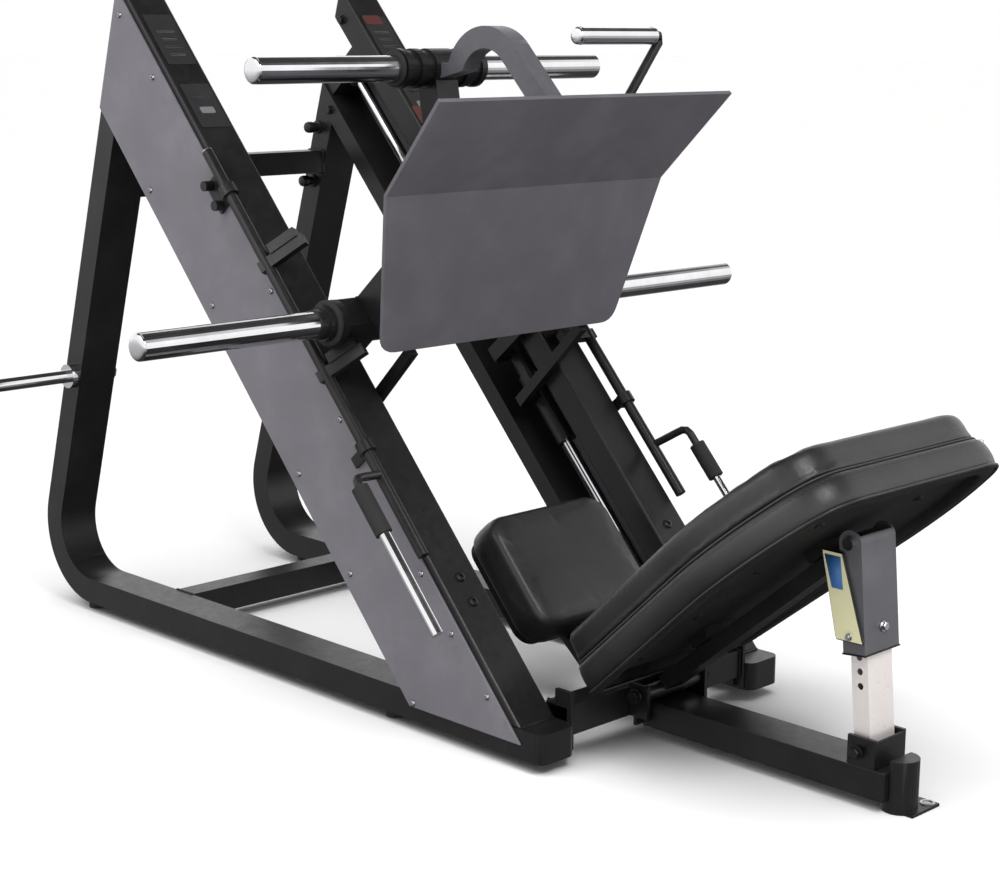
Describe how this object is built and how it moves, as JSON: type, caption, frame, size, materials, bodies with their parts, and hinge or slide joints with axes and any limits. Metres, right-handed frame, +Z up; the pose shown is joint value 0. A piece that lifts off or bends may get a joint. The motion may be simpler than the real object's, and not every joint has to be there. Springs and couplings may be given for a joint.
{
  "type": "leg press machine",
  "caption": "Black angled leg press with a sliding foot-plate carriage on guide rods, chrome plate horns, safety catches, a padded seat and a tilting back rest on a telescopic post.",
  "frame": {"origin": "on the floor, at the centre of the bounding box's bottom face", "axes": "+X to the user's right as they sit facing +Y, -Y at the back rest end, +Y at the uprights, +Z up"},
  "size_m": [1.562, 2.094, 1.35],
  "materials": {
    "black_steel": "satin black powder coat",
    "grey_panel": "satin grey powder coat",
    "foot_plate": "satin dark grey powder coat",
    "grey_steel": "satin grey powder coat",
    "chrome": "polished",
    "upholstery": "smooth black vinyl",
    "pad_board": "black painted plywood",
    "rubber": "matte",
    "lever": "pale yellow label over steel"
  },
  "bodies": {
    "frame": {"left_side_frame": "black_steel", "left_rail_front_tube": "black_steel", "left_rail_rear_tube": "black_steel", "left_rail_cover": "grey_panel", "left_guide_rod": "chrome", "left_storage_horn": "chrome", "left_front_pad_foot": "rubber", "left_rear_pad_foot": "rubber", "left_safety_lower_bracket": "black_steel", "left_safety_upper_bracket": "black_steel", "right_side_frame": "black_steel", "right_rail_front_tube": "black_steel", "right_rail_rear_tube": "black_steel", "right_rail_cover": "grey_panel", "right_guide_rod": "chrome", "right_storage_horn": "chrome", "right_front_pad_foot": "rubber", "right_rear_pad_foot": "rubber", "right_safety_lower_bracket": "black_steel", "right_safety_upper_bracket": "black_steel", "upper_cross_tube": "black_steel", "rear_cross_tube": "black_steel", "front_cross_tube": "black_steel", "centre_beam": "black_steel", "front_foot": "black_steel", "backrest_hinge_bracket": "black_steel", "post_clevis": "black_steel", "seat_pad": "upholstery", "seat_board": "pad_board", "seat_support": "black_steel"},
    "carriage": {"left_plate_gusset": "black_steel", "left_bearing_carrier": "black_steel", "left_lower_horn": "chrome", "left_upper_horn": "chrome", "right_plate_gusset": "black_steel", "right_bearing_carrier": "black_steel", "right_lower_horn": "chrome", "right_upper_horn": "chrome", "carriage_cross_tube": "black_steel", "carriage_mast": "black_steel", "carriage_hub": "black_steel", "carriage_arch": "grey_steel", "foot_plate": "foot_plate", "grab_handle": "black_steel", "grab_handle_grip": "chrome"},
    "left_safety": {"left_safety_shaft": "black_steel", "left_safety_handle": "chrome", "left_safety_grip": "rubber"},
    "right_safety": {"right_safety_shaft": "black_steel", "right_safety_handle": "chrome", "right_safety_grip": "rubber"},
    "back_rest": {"backrest_cushion": "upholstery", "backrest_base_pad": "upholstery", "backrest_board": "pad_board", "backrest_spine": "black_steel"},
    "post_outer": {"post_sleeve": "grey_steel", "post_top_pin": "chrome"},
    "post_inner": {"post_inner_tube": "chrome"},
    "lock_lever": {"post_lock_lever": "lever"}
  },
  "joints": [
    {"name": "carriage_slide", "type": "slide", "parent": "frame", "child": "carriage", "axis": [0, 0.6678, 0.7443], "range_m": [0, 0.14]},
    {"name": "left_safety_turn", "type": "hinge", "parent": "frame", "child": "left_safety", "pos_m": [-0.356, 0.05886, 0.65877], "axis": [0, 0.6678, 0.7443], "range_deg": [0, 55]},
    {"name": "right_safety_turn", "type": "hinge", "parent": "frame", "child": "right_safety", "pos_m": [0.356, 0.05886, 0.65877], "axis": [0, 0.6678, 0.7443], "range_deg": [0, 55]},
    {"name": "backrest_tilt", "type": "hinge", "parent": "frame", "child": "back_rest", "pos_m": [0, -0.499, 0.092], "axis": [-1, 0, 0], "range_deg": [-8, 8]},
    {"name": "post_swing", "type": "hinge", "parent": "back_rest", "child": "post_outer", "pos_m": [0, -0.919, 0.4507], "axis": [-1, 0, 0], "range_deg": [-1.2, 1.2]},
    {"name": "post_extend", "type": "slide", "parent": "post_outer", "child": "post_inner", "axis": [0, -0.0946, -0.9955], "range_m": [-0.066, 0.066]},
    {"name": "lock_lever_pull", "type": "hinge", "parent": "post_outer", "child": "lock_lever", "pos_m": [0, -0.92915, 0.29094], "axis": [-1, 0, 0], "range_deg": [0, 12], "stiffness_Nm_per_rad": 5, "springref_deg": -11.46}
  ],
  "couplings": [
    {"joint": "post_swing", "follows": "backrest_tilt", "ratio": -0.1},
    {"joint": "post_extend", "follows": "backrest_tilt", "m_per_rad": 0.452}
  ]
}
